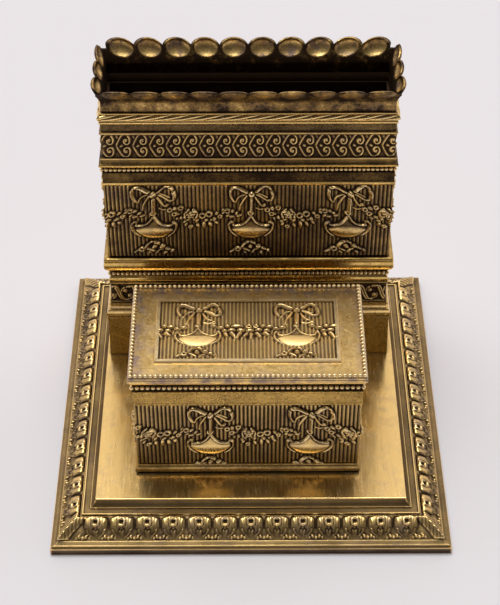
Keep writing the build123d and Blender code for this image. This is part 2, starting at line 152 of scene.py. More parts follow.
class Sheet:
    """A stamped sheet: heights over a grid of places, t along it and s up it, in millimetres. A narrow sunk
    line sets each motif off from what lies round it."""

    def __init__(self, t, s):
        self.t, self.s = t, np.broadcast_to(s, t.shape)
        self.fan = np.ptp(t, axis=0).max() + TINY
        self.h = np.zeros(t.shape)

    def near(self, t, s, reach):
        """The part of the grid within reach of a place, which is empty if the place is too far off it."""
        rows = np.nonzero(np.abs(self.s[:, 0] - s) < reach)[0]
        cols = np.nonzero(np.abs(self.t[0] - t) < reach + self.fan)[0]
        return tuple(slice(run[0], run[-1] + 1) if len(run) else slice(0, 0) for run in (rows, cols))

    def raise_to(self, part, height):
        self.h[part] = np.maximum(self.h[part], height)

    def set_off(self, part, gap, height):
        """Raises a motif, with what lies within HALO of its outline sunk: gap is the distance outside it."""
        self.h[part] *= step_up(gap / HALO)
        self.raise_to(part, height)

    def turned(self, part, t, s, turn):
        """Coordinates of that part along and across a direction, from a place."""
        dt, ds = self.t[part] - t, self.s[part] - s
        c, k = math.cos(math.radians(turn)), math.sin(math.radians(turn))
        return dt * c + ds * k, ds * c - dt * k

    def dome(self, t, s, rt, rs, height, turn=0.0, roundness=1.0):
        """An oval dome, flatter on top with less roundness."""
        part = self.near(t, s, max(rt, rs) + HALO)
        a, b = self.turned(part, t, s, turn)
        x = np.hypot(a / rt, b / rs)
        self.set_off(part, (x - 1) * min(rt, rs), height * round_top(x) ** roundness)

    def eyelet(self, t, s, r, height, hole=0.45):
        """A ring with a sunk middle."""
        part = self.near(t, s, r + HALO)
        a, b = self.turned(part, t, s, 0)
        x = np.hypot(a, b) / r
        rim = np.abs(x - (1 + hole) / 2) / ((1 - hole) / 2)
        self.set_off(part, (x - 1) * r, np.maximum(height * round_top(rim), 0.25 * height * (x < hole)))

    def leaf(self, t, s, length, width, turn, height):
        """A pointed leaf with a vein, growing from a place."""
        part = self.near(t, s, length + HALO)
        a, b = self.turned(part, t, s, turn)
        share = np.clip(a / length, 0, 1)
        half = 0.5 * width * np.sin(math.pi * share**0.8) ** 0.75 + TINY
        lift = height * round_top(b / half) * (0.7 + 0.3 * np.sin(math.pi * share))
        lift -= 0.3 * height * np.exp(-((b / 0.16) ** 2)) * (share > 0.1)
        past = np.maximum(np.maximum(-a, a - length), 0)
        gap = np.hypot(np.maximum(np.abs(b) - half, 0), past)
        self.set_off(part, gap, np.where(gap > 0, 0, lift))

    def flower(self, t, s, r, petals, height, turn=0.0):
        """A flower with rounded petals and a sunk eye."""
        part = self.near(t, s, r + HALO)
        a, b = self.turned(part, t, s, turn)
        far = np.hypot(a, b) / r
        wave = np.abs(np.cos(petals * np.arctan2(b, a) / 2))
        edge = 0.72 + 0.28 * wave
        lift = height * round_top(far / edge) * (0.8 + 0.2 * wave)
        lift -= 0.55 * height * np.exp(-((far / 0.22) ** 2))
        self.set_off(part, (far - edge) * r, lift)

    def strap(self, points, radius, height, tip=1.0):
        """A rounded ribbon or stem along a smooth line, which narrows to tip times its width."""
        line = smooth_line(points)
        middle, reach = line.mean(axis=0), np.ptp(line, axis=0).max() / 2 + 2 * radius + HALO
        part = self.near(*middle, reach + np.abs(line - middle).max() / 2)
        place = np.stack([self.t[part], self.s[part]], -1)[..., None, :]
        start, run = line[:-1], np.diff(line, axis=0)
        along = np.clip(((place - start) * run).sum(-1) / (run**2).sum(-1), 0, 1)
        away = np.linalg.norm(place - start - along[..., None] * run, axis=-1)
        share = (np.arange(len(run)) + along) / len(run)
        ratio = away / (radius * (1 + (tip - 1) * share))
        best = ratio.argmin(axis=-1)[..., None]
        x = np.take_along_axis(ratio, best, -1)[..., 0]
        self.set_off(part, (x - 1) * radius, height * round_top(x))


# ---- the garland strip

# Places on the strip are in millimetres, along it from the middle of an urn and up it from its lower edge.
REPEAT = 39.0

# Ribbons of the bow and the sprig: radius, height, tip and line.
BOW = (
    (0.55, 1.7, 1.0, [(0.9, 33.0), (2.6, 33.9), (4.1, 35.6), (5.8, 36.6), (7.4, 35.7), (8.3, 33.6)]),
    (0.85, 1.8, 0.7, [(8.3, 33.6), (8.7, 31.6), (8.3, 29.4)]),
    (0.42, 1.4, 1.0, [(8.3, 29.4), (6.6, 29.1), (4.6, 30.6), (2.8, 31.9), (1.0, 32.3)]),
    (0.28, 1.3, 1.0, [(2.6, 32.9), (4.6, 31.8), (6.6, 30.4)]),
    (0.85, 1.8, 0.9, [(-0.9, 33.0), (-2.8, 34.2), (-5.0, 35.7), (-6.8, 36.0), (-8.0, 34.5)]),
    (0.75, 1.7, 0.4, [(-8.0, 34.5), (-8.1, 32.0), (-7.4, 29.6), (-6.0, 27.6)]),
    (0.34, 1.2, 1.0, [(-6.0, 27.8), (-5.2, 30.1), (-3.4, 31.6), (-1.0, 32.3)]),
    (0.50, 1.2, 0.7, [(1.4, 31.4), (2.6, 28.8), (4.2, 26.4), (5.6, 26.0)]),
    (0.34, 1.0, 0.8, [(2.0, 25.0), (3.6, 24.2), (5.2, 24.5)]),
    (0.50, 1.1, 0.6, [(-1.4, 31.6), (-2.6, 29.4), (-4.0, 26.6), (-4.4, 23.8)]),
    (0.80, 1.8, 0.9, [(0.25, 31.4), (0.2, 27.2), (0.1, 22.9)]),
)
URN_HALF = 8.0
URN_RIDGE = [(0.0, 21.4), (0.8, 19.6), (1.8, 18.0), (3.6, 16.6), (5.8, 16.1), (7.2, 16.4)]
URN_HANDLE = [(7.0, 17.2), (7.9, 17.9), (8.8, 16.9), (8.9, 15.2), (8.4, 13.4), (7.2, 11.7), (5.4, 10.2)]
SPRIG = (
    (0.72, 1.8, 0.5, [(-3.6, 4.4), (-2.8, 6.0), (-1.4, 7.3), (0.0, 7.0)]),
    (0.68, 1.7, 0.5, [(0.2, 7.2), (1.4, 6.6), (1.8, 5.2)]),
    (0.72, 1.7, 0.4, [(3.8, 4.2), (5.6, 3.4), (7.4, 1.5)]),
    (0.60, 1.5, 0.5, [(-3.0, 3.6), (-1.6, 2.8), (-0.4, 1.8)]),
    (0.68, 1.6, 0.4, [(-5.8, 3.6), (-7.2, 2.6), (-8.6, 1.4)]),
    (0.55, 1.4, 0.5, [(0.6, 1.2), (1.6, 2.8), (3.0, 3.2)]),
)
SPRIG_BUDS = ((3.0, 4.8, 1.3), (-0.2, 4.7, 1.1), (7.0, 2.6, 0.8), (-2.3, 1.6, 0.7), (4.2, 1.5, 0.7))

# The garland: rings and buds with their radii, the rings' holes, and leaves with length, width and turn.
GARLAND_RINGS = (
    (6.6, 24.2, 1.2, 0.5), (10.9, 25.2, 1.15, 0.5), (19.5, 21.2, 1.5, 0.6), (22.2, 22.0, 1.5, 0.55),
    (29.6, 23.6, 1.25, 0.5), (26.6, 20.8, 1.05, 0.4), (14.7, 15.4, 1.0, 0.4), (8.3, 22.0, 1.15, 0.55),
)
GARLAND_BUDS = (
    (5.4, 26.8, 0.75), (8.6, 25.0, 0.9), (11.1, 20.2, 0.8), (12.4, 18.2, 0.7), (31.6, 23.6, 0.8),
    (25.2, 22.4, 0.7), (24.3, 19.4, 0.85), (17.0, 22.8, 0.7), (20.9, 18.9, 0.85), (33.2, 22.4, 0.7),
    (27.9, 23.0, 0.7), (9.4, 19.8, 0.6),
)
GARLAND_LEAVES = (
    (7.2, 21.4, 3.4, 1.4, 8), (14.6, 19.4, 2.8, 1.4, 206), (15.6, 19.4, 3.0, 1.4, -28),
    (13.2, 17.6, 2.6, 1.3, 250), (17.0, 17.2, 3.0, 1.4, 292), (20.0, 18.2, 4.4, 1.6, 272),
    (22.0, 18.0, 3.6, 1.5, 292), (22.6, 18.4, 3.2, 1.5, 34), (17.8, 19.8, 3.0, 1.4, 250),
    (24.2, 18.6, 3.0, 1.4, 306), (29.6, 20.8, 3.2, 1.5, -6), (33.0, 20.6, 2.8, 1.3, 20),
    (12.6, 24.6, 2.6, 1.3, -42), (27.2, 22.8, 2.6, 1.3, 62), (30.4, 22.0, 2.4, 1.2, 230),
    (9.4, 23.6, 2.6, 1.2, 150),
)
ROSETTE_AT = 15.0
ROSETTE_CUP = [(2.2, 20.2), (2.2, 22.4), (1.0, 24.2)]

# The lid's garland: petals with half sizes and turn, drops with their tips, and rings like the garland's.
LID_PETALS = (
    (6.4, 22.0, 1.9, 0.8, -24), (9.0, 20.8, 1.7, 0.9, -14), (11.8, 21.9, 1.4, 1.1, -20),
    (15.4, 22.0, 2.6, 1.4, 3), (25.9, 22.0, 1.3, 1.0, 30), (28.4, 21.6, 1.8, 1.2, 10),
    (30.9, 20.2, 1.5, 1.0, -12), (33.4, 21.0, 1.6, 1.0, 14), (10.7, 18.8, 1.4, 0.9, 0),
    (13.3, 19.3, 1.7, 1.2, 8), (16.9, 19.2, 1.7, 1.2, -6), (20.5, 18.9, 1.8, 1.2, 4),
    (24.0, 19.4, 1.6, 1.1, 14), (27.2, 19.0, 1.4, 1.0, 4),
)
LID_DROPS = (
    (13.2, 17.2, 14.9, 14.0), (16.6, 17.2, 15.3, 13.8), (19.6, 17.0, 18.0, 14.8),
    (21.0, 16.6, 20.9, 13.2), (23.2, 17.0, 24.8, 14.2), (26.4, 17.4, 28.2, 15.6),
    (10.8, 17.0, 11.6, 15.0),
)
LID_RINGS = ((20.1, 21.7, 1.3, 0.5), (22.9, 21.9, 1.2, 0.5), (6.2, 24.4, 1.0, 0.5))


def reeds(sheet, pitch, height):
    """Upright reeds over the whole sheet, with a narrow groove between them."""
    x = ((sheet.t / pitch) % 1 - 0.5) * 2.3
    sheet.raise_to(..., height * round_top(x))


def placed(points, x, y=0.0, side=1, up=1):
    """The same line from another place, mirrored where side or up is -1."""
    return [(x + side * a, y + up * b) for a, b in points]


def ribbons(sheet, u, lines, wider=1.0):
    """Straps that each have their own radius, height and tip."""
    for radius, height, tip, line in lines:
        sheet.strap(placed(line, u), radius * wider, height, tip=tip)


def bow(sheet, u, wider):
    """A ribbon bow with a round knot, two open loops, two tails and the strap that the urn hangs from."""
    ribbons(sheet, u, BOW, wider)
    sheet.dome(u + 0.3, 32.3, 1.5, 1.7, 2.4)


def urn_body(x, y, plump, cover_height):
    """How far outside an urn's outline a place is, and how high the urn is there. x is from its middle."""
    share = np.clip(x / URN_HALF, 0, 1)
    tall, belly, swell = (1.1, 0.3, 2.3) if plump else (1.9, 0.5, 1.4)
    rim = 13.7 + swell * (1 - share**4)
    foot = 8.8 + 4.9 * share**2.6
    top = 16.1 + 5.2 * np.exp(-x / 1.9)
    up = np.clip((y - foot) / (rim - foot + TINY), 0, 1)
    bowl = tall * (1 - (1 - up) ** 2) ** belly * (1 - 0.5 * share**3)
    bowl *= 1 - (1 - min(cover_height / tall, 1)) * up**3 * (not plump)
    over = np.clip((y - rim) / (top - rim + TINY), 0, 1)
    cover = cover_height * (1 - 0.5 * over**0.6) * (1 - 0.3 * share**2)
    gap = np.maximum(np.maximum(foot - y, y - top), 4 * (x - 7.0))
    body = np.where(y <= rim, bowl, cover)
    return gap, np.where((y > foot) & (y < top) & (share < 1), body, 0)


def urn(sheet, u, plump, cover_height):
    """A boat-shaped urn with scrolled handles and a tent-shaped cover. If it is plump, its bowl reaches over
    the cover's foot."""
    for side in (-1, 1):
        sheet.strap(placed(URN_HANDLE, u, side=side), 0.5, 1.8, tip=0.5)
        sheet.dome(u + side * 7.3, 16.8, 0.6, 0.7, 1.5)
    part = sheet.near(u, 15.5, 10)
    sheet.set_off(part, *urn_body(np.abs(sheet.t[part] - u), sheet.s[part], plump, cover_height))
    for side in (-1, 1):
        sheet.strap(placed(URN_RIDGE, u, side=side), 0.42, 1.0 if plump else 1.9)
        sheet.dome(u + side * 1.0, 22.9, 0.5, 0.5, 1.5)
    sheet.eyelet(u - 0.1, 22.6, 1.3, 1.8)


def sprig(sheet, u):
    """Curled leaves and buds under the urn."""
    ribbons(sheet, u, SPRIG)
    for x, y, r in SPRIG_BUDS:
        sheet.dome(u + x, y, r, r, 1.9)
    sheet.eyelet(u - 5.2, 3.4, 1.35, 1.9)


def garland(sheet, u):
    """Flowers, buds and leaves from one urn to the next, with a cupped rosette among them."""
    for x, y, length, width, turn in GARLAND_LEAVES:
        sheet.leaf(u + x, y, length, width, turn, 1.4)
    for x, y, r, hole in GARLAND_RINGS:
        sheet.eyelet(u + x, y, r, 1.7, hole)
    for x, y, r in GARLAND_BUDS:
        sheet.dome(u + x, y, 1.1 * r, r, 1.8)
    for side in (-1, 1):
        sheet.strap(placed(ROSETTE_CUP, u + ROSETTE_AT, side=side), 0.65, 2.1)
    sheet.flower(u + ROSETTE_AT, 21.7, 2.3, 5, 2.5, 18)
    sheet.eyelet(u + ROSETTE_AT, 21.5, 1.0, 2.7, hole=0.4)


def lid_garland(sheet, u):
    """The flatter garland of the lid: rows of oval petals, with pointed ones that hang below them."""
    for x, y, tip_x, tip_y in LID_DROPS:
        line = [(x, y), ((x + tip_x) / 2, y - 1.0), (tip_x, tip_y)]
        sheet.strap(placed(line, u), 1.1, 1.5, tip=0.5)
    for x, y, rt, rs, turn in LID_PETALS:
        sheet.dome(u + x, y, rt, rs, 1.6, turn, roundness=0.5)
    for x, y, r, hole in LID_RINGS:
        sheet.eyelet(u + x, y, r, 1.5, hole)


def garland_strip(first, low, pitch, depth, cover_height, squeeze=1.0, margin=0.7, plump=False):
    """The relief of a panel cut from one long stamped strip. first is an urn's place along the panel, low is
    where its lower edge cuts the strip, pitch and depth are the reeds' width and height, cover_height is that
    of the urns' covers, squeeze is how much lower the motifs are, margin is the width over which they fade at
    the edges, and plump gives the lid's softer motifs."""

    def relief(t, s, edge):
        sheet = Sheet(t, s / squeeze + low)
        top = s.max()
        reeds(sheet, pitch, depth)
        for u in np.arange(first - 4 * REPEAT, np.abs(t).max() + REPEAT, REPEAT):
            (lid_garland if plump else garland)(sheet, u)
            sprig(sheet, u)
            urn(sheet, u, plump, cover_height)
            bow(sheet, u, 1.3 if plump else 1.0)
        inside = step_up((s - 0.1) / margin) * step_up((top - 0.1 - s) / margin) * step_up(edge / 0.7)
        rim = 0.3 * (1 - step_up((edge - 0.5) / 0.4))
        return np.maximum(soften(sheet.h * inside, 1), rim)

    return relief


# ---- friezes


HATCH = 0.7
HEART_PITCH = 6.45
HEART_MIDDLE = 7.3
HEART_SIDE = [(-2.9, 0.1), (-2.4, 1.5), (-1.7, 3.0), (-1.0, 4.4), (-0.2, 5.3), (0.8, 5.5), (1.7, 4.9)]
HEART_CURL = [
    (1.7, 4.9), (2.3, 3.8), (2.5, 2.5), (2.2, 1.3), (1.5, 0.8), (0.7, 1.0), (0.2, 1.9), (0.4, 2.9),
    (1.1, 3.2), (1.5, 2.6),
]
SCROLL_HATCH = 0.8
SCROLL_PITCH = 7.6
SCROLL_MIDDLE = 5.75
SCROLL_GAP = 1.05
SCROLL_LINE = [
    (0.2, 3.3), (1.3, 4.1), (2.6, 3.5), (3.5, 1.4), (4.3, -1.2), (5.4, -3.3), (6.9, -3.9), (8.0, -3.2),
]


def hatched(t, s, pitch, height):
    """A sheet with a fine upright hatching."""
    sheet = Sheet(t, s)
    sheet.h += height + height * np.cos(2 * math.pi * t / pitch)
    return sheet


def framed(sheet, s, edge, low, high):
    """A frieze's heights, fading out towards its lower and upper edge and its corners."""
    return soften(sheet.h * step_up((s - low) / 0.4) * step_up((high - s) / 0.4) * step_up(edge / 0.8), 1)


def fit_pitch(t, pitch):
    """How many motifs a side takes, their exact pitch, and where its left end is."""
    side = np.abs(t).max() * 2
    count = max(1, round(side / pitch))
    return count, side / count, -side / 2


def heart_frieze(t, s, edge):
    """Running hearts that lie on their sides, each with two curled ends, on a hatched ground."""
    sheet = hatched(t, s, HATCH, 0.04)
    count, pitch, left = fit_pitch(t, HEART_PITCH)
    for k in range(count):
        x = left + (k + 0.5) * pitch
        for up in (-1, 1):
            sheet.strap(placed(HEART_SIDE, x, HEART_MIDDLE, up=up), 0.30, 0.6)
            sheet.strap(placed(HEART_CURL, x, HEART_MIDDLE, up=up), 0.28, 0.8, tip=1.3)
            sheet.dome(x + 1.1, HEART_MIDDLE + up * 2.3, 0.45, 0.45, 1.0)
        sheet.dome(x - 0.9, HEART_MIDDLE, 0.55, 0.65, 1.0)
        sheet.leaf(x + 3.6, HEART_MIDDLE + 5.0, 2.2, 0.9, -70, 0.35)
    return framed(sheet, s, edge, 1.5, 12.9)


def scroll_frieze(t, s, edge):
    """Running scrolls of a double line, each with a leaf and a small flower, on a hatched ground."""
    sheet = hatched(t, s, SCROLL_HATCH, 0.07)
    count, pitch, left = fit_pitch(t, SCROLL_PITCH)
    for k in range(-1, count + 1):
        x = left + k * pitch
        for shift in (0.0, SCROLL_GAP):
            sheet.strap(placed(SCROLL_LINE, x + shift, SCROLL_MIDDLE), 0.42, 0.9)
        sheet.leaf(x + 5.2, SCROLL_MIDDLE + 0.4, 3.8, 1.9, 62, 0.8)
        sheet.leaf(x + 3.0, SCROLL_MIDDLE - 0.4, 3.8, 1.9, 242, 0.8)
        sheet.flower(x + 6.9, SCROLL_MIDDLE + 1.4, 1.25, 5, 0.9)
        sheet.flower(x + 1.4, SCROLL_MIDDLE - 1.4, 1.25, 5, 0.9)
    return framed(sheet, s, edge, 0.9, 10.5)


WIRE_FROM = 6.1
WIRE_ROUND = 3.8
STRAND_PITCH = 6.9
STRAND_SLANT = 1.8


def rope_twist(t, s, edge):
    """Long slanting strands on the half-round wire, which is WIRE_ROUND round its face."""
    across = (s - WIRE_FROM) / WIRE_ROUND
    on_wire = (across > 0) & (across < 1)
    strand = np.abs(np.sin(math.pi * (t / STRAND_PITCH - STRAND_SLANT * across)))
    lift = 0.75 * (strand**0.6 - 0.8) * np.sin(math.pi * np.clip(across, 0, 1)) ** 0.5
    return np.where(on_wire, lift, 0) * step_up(edge)


def stipple(t, s, edge):
    """The fine pits of a matted band."""
    rng = np.random.default_rng(7)
    return 0.12 * (soften(rng.random(t.shape), 1) - 0.5) * step_up(edge / 0.6)


# ---- the base's border

BORDER_PITCH = 10.3
BORDER_LEAVES = 13
BORDER_TOP = 9.6
BORDER_LEAF_HALF = 4.8
BORDER_EYE = 7.3
MITRE_HALF = 3.6
VEIN_PITCH = 1.7


def border_leaf(across, s):
    """The heights of one arched leaf with a ringed eye, at a distance across from its middle and s up it."""
    up = s / BORDER_TOP
    arch = np.clip(1 - ((up - 0.49) / 0.51) ** 10, 0, 1) ** 0.5
    half = BORDER_LEAF_HALF * (0.66 + 0.34 * step_up(up / 0.6)) * arch + TINY
    rise = 0.1 + 1.45 * step_up((up - 0.1) / 0.75)
    fan = across / (0.8 + 0.5 * up)
    folds = 1 - 0.13 * (1 - np.cos(2 * math.pi * fan)) * step_up((up - 0.2) / 0.3)
    eye = np.hypot(across, s - BORDER_EYE)
    ring = 0.5 * np.exp(-(((eye - 1.4) / 0.3) ** 2)) - 0.3 * np.exp(-(((eye - 2.0) / 0.3) ** 2))
    ring -= 0.8 * np.exp(-((eye / 0.8) ** 2))
    return rise * round_top(across / half) ** 0.6 * folds + ring


def leaf_border(t, s, edge):
    """Leaf and dart: arched leaves with an eye near the top, darts between them, and a leaf on each mitre."""
    sheet = Sheet(t, s)
    half_run = BORDER_LEAVES * BORDER_PITCH / 2
    for k in range(BORDER_LEAVES):
        x = -half_run + (k + 0.5) * BORDER_PITCH
        part = sheet.near(x, 5, 6)
        sheet.raise_to(part, border_leaf(np.abs(sheet.t[part] - x), sheet.s[part]))
        for side in (-1, 1):
            sheet.leaf(x + side * 0.9, 4.8, 3.6, 1.1, -90 - side * 14, 0.7)
            sheet.strap(placed([(3.6, 4.4), (2.9, 2.6), (1.4, 1.2)], x, side=side), 0.32, 0.8, tip=0.6)
    for k in range(BORDER_LEAVES + 1):
        x = -half_run + k * BORDER_PITCH
        sheet.dome(x, 1.0, 0.6, 0.8, 1.1)
        for side in (-1, 1):
            sheet.dome(x + side * 1.35, 1.5, 0.5, 0.95, 1.2, turn=-side * 24)
            sheet.dome(x + side * 2.5, 1.0, 0.5, 0.6, 0.9)
    corner = np.clip(1 - edge / MITRE_HALF, 0, 1)
    spine = (0.5 + 0.9 * corner**0.6) * (corner > 0)
    veins = 0.18 * np.cos((s + 1.4 * edge) * 2 * math.pi / VEIN_PITCH)
    ends = step_up(s / 0.6) * step_up((BORDER_TOP - s) / 0.6)
    leaves = soften(sheet.h, 1) * step_up((edge - 2.6) / 1.2) * step_up((BORDER_TOP + 0.1 - s) / 0.4)
    return np.maximum(leaves, (spine + veins * (corner > 0)) * ends)


# ---- meshes


def new_object(name, data):
    """An object with this data, in the scene."""
    thing = bpy.data.objects.new(name, data)
    bpy.context.scene.collection.objects.link(thing)
    return thing


def to_mesh(name, points, quads, caps=(), patina_and_painted_light=None):
    """A mesh object from points in millimetres, with a patina_and_painted_light value for each point."""
    mesh = bpy.data.meshes.new(name)
    mesh.from_pydata((points * MM).tolist(), [], [*quads.tolist(), *(tuple(cap) for cap in caps)])
    mesh.polygons.foreach_set("use_smooth", [True] * len(mesh.polygons))
    if patina_and_painted_light is not None:
        layer = mesh.attributes.new("patina_and_painted_light", "FLOAT", "POINT")
        layer.data.foreach_set("value", np.asarray(patina_and_painted_light, np.float32))
    mesh.validate()
    return new_object(name, mesh)


def patina_and_glint_of(h, ground=0.2, crest=1.5, deep=0.3):
    """How dark a relief is from its height: about 1 in its hollows and below ground, and under 0 above crest,
    where it is pale from rubbing and a painted highlight. deep is the depth of a full hollow."""
    spread = soften(h, 14)
    hollow = np.clip((spread - h) / deep, 0, 1)
    proud = np.clip((h - spread) / deep, 0, 1)
    low = 1 - np.clip((h - ground) / (crest - ground), 0, 1.3)
    return np.clip(0.55 * low + 0.65 * hollow - 0.4 * proud, -0.6, 1)


# The backs of the bands are painted dark: painted shade.
BACK_SHADE = 0.95


class Section:
    """The cross-section of a band: its face from low to high, as places (out, z), its lengths and normals."""

    def __init__(self, corners, step):
        corners = np.array(corners, float)
        points = [corners[0]]
        for start, end in zip(corners, corners[1:]):
            bits = max(1, round(np.linalg.norm(end - start) / step))
            points += [start + (end - start) * (k + 1) / bits for k in range(bits)]
        self.points = np.array(points)
        lengths = np.linalg.norm(np.diff(self.points, axis=0), axis=1)
        self.s = np.concatenate([[0], np.cumsum(lengths)])
        along = np.gradient(self.points, axis=0)
        along /= np.linalg.norm(along, axis=1)[:, None] + 1e-9
        self.normal = np.stack([along[:, 1], -along[:, 0]], axis=1)


def side_points(plan, side, section, relief, back, step, tone_strips=(), wear_and_glint=None):
    """One side of a band: its points, rows up the face and then down the back, and the
    patina_and_painted_light value of each, with painted shade on the back.
    """
    half = plan.halves(side)[1]
    cols = np.linspace(-half, half, round(2 * half / step) + 1)
    s, out, z = section.s[:, None], section.points[:, :1], section.points[:, 1:]
    t = cols * (half + out) / half
    h, shade = np.zeros(t.shape), np.zeros(t.shape)
    if relief:
        h = relief(t, s, half + out - np.abs(t))
        shade = patina_and_glint_of(h, **(wear_and_glint or {}))
    for low, high, amount in tone_strips:
        shade += amount * (np.abs(2 * s - low - high) < high - low)
    behind, flat = np.array(back)[::-1], np.zeros((2, len(cols)))
    out = np.vstack([out + h * section.normal[:, :1], flat + behind[:, :1]])
    z = np.vstack([z + h * section.normal[:, 1:], flat + behind[:, 1:]])
    return plan.places(side, out, cols * (half + out) / half, z), np.vstack([shade, flat + BACK_SHADE])


def grid_quads(rows, cols, wrap_rows, wrap_cols):
    """Corner indices of the quads between neighbouring rows and columns."""
    r = np.arange(rows if wrap_rows else rows - 1)[:, None]
    c = np.arange(cols if wrap_cols else cols - 1)[None, :]
    r2, c2 = (r + 1) % rows, (c + 1) % cols
    return np.stack([r * cols + c, r * cols + c2, r2 * cols + c2, r2 * cols + c], -1).reshape(-1, 4)


def ring_mesh(name, parts):
    """One closed ring from the grids of its sides, (points, patina_and_painted_light), which share their end
    columns.
    """
    points = np.concatenate([points[:, :-1] for points, shade in parts], axis=1)
    shade = np.concatenate([shade[:, :-1] for points, shade in parts], axis=1)
    return to_mesh(name, points.reshape(-1, 3), grid_quads(*shade.shape, True, True), (), shade.ravel())


def strip_mesh(name, points, shade):
    """A closed strip from one grid whose rows run round it, with both ends capped."""
    rows, cols = shade.shape
    caps = [np.arange(rows)[::-1] * cols, np.arange(rows) * cols + cols - 1]
    return to_mesh(name, points.reshape(-1, 3), grid_quads(rows, cols, True, False), caps, shade.ravel())


def band(name, plan, corners, wall, relief, step, sides=tuple(SIDES), tone_strips=(), wear_and_glint=None):
    """A band of moulding round a plan, or one side of it, with a flat back one wall behind the plan's faces.
    tone_strips are darker strips along it, lighter below 0, each from one place up its face to another, and
    wear_and_glint is for patina_and_glint_of."""
    section = Section(corners, step)
    back = [(-wall, corners[0][1]), (-wall, corners[-1][1])]
    parts = [side_points(plan, side, section, relief, back, step, tone_strips, wear_and_glint) for side in sides]
    return ring_mesh(name, parts) if len(parts) == len(SIDES) else strip_mesh(name, *parts[0])


def arc(start, end, bulge, count=7):
    """Places along an arc from start to end that bulges outwards by bulge at its middle, as (out, z)."""
    a, b = np.array(start, float), np.array(end, float)
    chord = b - a
    side = np.array([chord[1], -chord[0]]) / np.linalg.norm(chord)
    share = np.linspace(0, 1, count)
    return [tuple(a + chord * k + side * bulge * 4 * k * (1 - k)) for k in share]


# ---- materials


class Nodes:
    """A short way to build the node tree of a material or a world."""

    def __init__(self, owner, shader="Principled BSDF"):
        owner.use_nodes = True
        self.owner, self.tree = owner, owner.node_tree
        self.shader = self.tree.nodes[shader]
        self.coordinates = self.add("ShaderNodeTexCoord").outputs

    def add(self, kind, **settings):
        """A new node with these settings."""
        node = self.tree.nodes.new(kind)
        for key, value in settings.items():
            setattr(node, key, value)
        return node

    def feed(self, node, values):
        """Gives a node's sockets a constant, or links them to the socket that is their value."""
        for socket, value in values.items():
            if isinstance(value, bpy.types.NodeSocket):
                self.tree.links.new(value, node.inputs[socket])
            else:
                node.inputs[socket].default_value = value

    def finish(self, values):
        """Feeds the shader itself, and hands back what the tree belongs to."""
        self.feed(self.shader, values)
        return self.owner

    def axes(self, place):
        """The X, Y and Z of a place."""
        node = self.add("ShaderNodeSeparateXYZ")
        self.feed(node, {0: place})
        return node.outputs

    def noise(self, per_mm, detail=3.0, roughness=0.55, stretch=(1, 1, 1)):
        """A noise pattern with about this many features per millimetre, from 0 to 1."""
        mapping = self.add("ShaderNodeMapping")
        self.feed(mapping, {"Vector": self.coordinates["Object"], "Scale": [s / MM for s in stretch]})
        node = self.add("ShaderNodeTexNoise")
        place = mapping.outputs["Vector"]
        self.feed(node, {"Vector": place, "Scale": per_mm, "Detail": detail, "Roughness": roughness})
        return node.outputs["Fac"]

    def math(self, operation, a, b=0.0, clamp=False):
        node = self.add("ShaderNodeMath", operation=operation, use_clamp=clamp)
        self.feed(node, {0: a, 1: b})
        return node.outputs[0]

    def total(self, first, *others):
        for value in others:
            first = self.math("ADD", first, value)
        return first

    def span(self, value, low, high, to_low=0.0, to_high=1.0, kind="LINEAR"):
        """Maps low..high to to_low..to_high, and no further."""
        node = self.add("ShaderNodeMapRange", interpolation_type=kind)
        self.feed(node, {"Value": value, "From Min": low, "From Max": high})
        self.feed(node, {"To Min": to_low, "To Max": to_high})
        return node.outputs["Result"]

    def below(self, height, fade, amount):
        """Up to amount under a height in millimetres, and 0 above it."""
        up = self.axes(self.coordinates["Object"])["Z"]
        return self.span(up, (height - fade) * MM, height * MM, amount, 0.0)

    def openness(self, reach_mm, **settings):
        """How open the surroundings within reach are: low in corners or, from inside, at outer edges."""
        node = self.add("ShaderNodeAmbientOcclusion", samples=6, **settings)
        self.feed(node, {"Distance": reach_mm * MM})
        return node.outputs["AO"]

    def mix(self, share, a, b):
        """A colour between a and b."""
        node = self.add("ShaderNodeMix", data_type="RGBA")
        a, b = (c if isinstance(c, bpy.types.NodeSocket) else (*c, 1.0) for c in (a, b))
        self.feed(node, {"Factor": share, 6: a, 7: b})
        return node.outputs[2]

    def bump(self, height, depth_mm, strength, base=None):
        """Fine unevenness of the surface, on top of that of base."""
        node = self.add("ShaderNodeBump")
        self.feed(node, {"Distance": depth_mm * MM, "Strength": strength, "Height": height})
        if base is not None:
            self.feed(node, {"Normal": base})
        return node.outputs["Normal"]


# The pale colour of crests: a painted highlight, with the paleness of rubbing.
RUBBED_AND_GLINT = (1.0, 0.80, 0.45)
GOLD = (0.94, 0.66, 0.25)
BRONZE = (0.46, 0.31, 0.12)
UMBER = (0.040, 0.024, 0.014)
VIOLET = (0.30, 0.22, 0.20)


